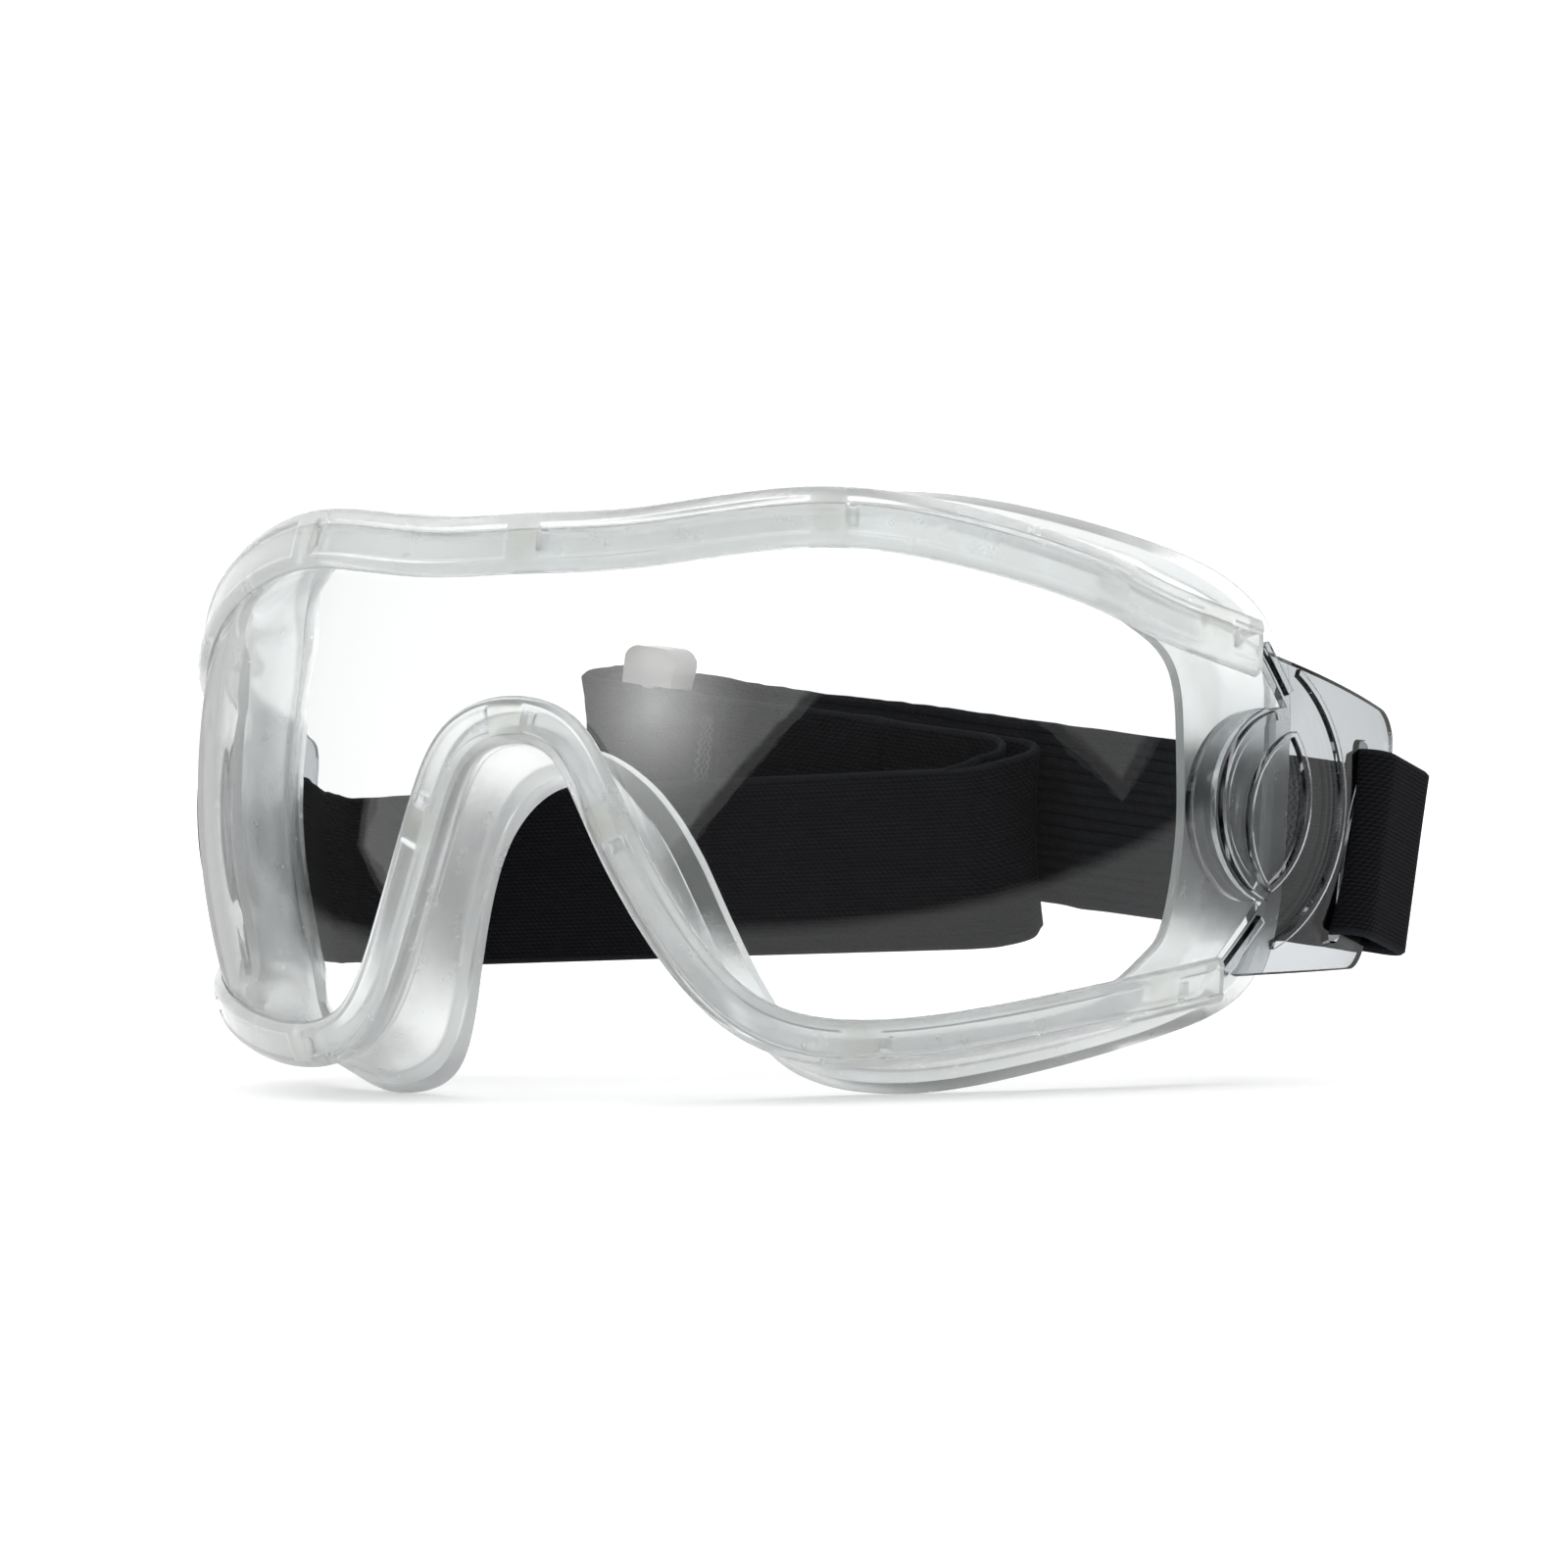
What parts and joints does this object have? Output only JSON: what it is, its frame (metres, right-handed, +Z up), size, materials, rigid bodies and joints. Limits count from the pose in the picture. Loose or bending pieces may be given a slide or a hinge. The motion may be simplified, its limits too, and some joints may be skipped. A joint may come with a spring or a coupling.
{
  "type": "sports protective goggles",
  "caption": "Wrap-around clear goggles: soft translucent frame, clear lens and strap plates, and a folded black elastic headband with a strap slider.",
  "frame": {"origin": "middle of the footprint, at the lowest point of the face rim", "axes": "+X towards the wearer's left, front looks along -Y, +Z up"},
  "size_m": [0.1775, 0.108, 0.0789],
  "materials": {
    "frame_tpe": "soft translucent, satin",
    "lens_clear": "clear polycarbonate, polished",
    "plate_clear": "clear polycarbonate, polished, moulded ribs",
    "elastic": "woven elastic, fine twill outside, ribbed inside",
    "thread": "bar-tack stitching",
    "slider_plastic": "translucent natural plastic, satin"
  },
  "bodies": {
    "goggles": {"soft_frame": "frame_tpe", "lens": "lens_clear", "left_strap_plate": "plate_clear", "right_strap_plate": "plate_clear", "headband": "elastic", "plate_stitching": "thread"},
    "slider": {"strap_slider": "slider_plastic", "headband_end_loop": "elastic", "slider_stitching": "thread"}
  },
  "joints": [
    {"name": "slider_slide", "type": "slide", "parent": "goggles", "child": "slider", "axis": [0.9885, 0, -0.1512], "range_m": [0, 0.02]}
  ]
}
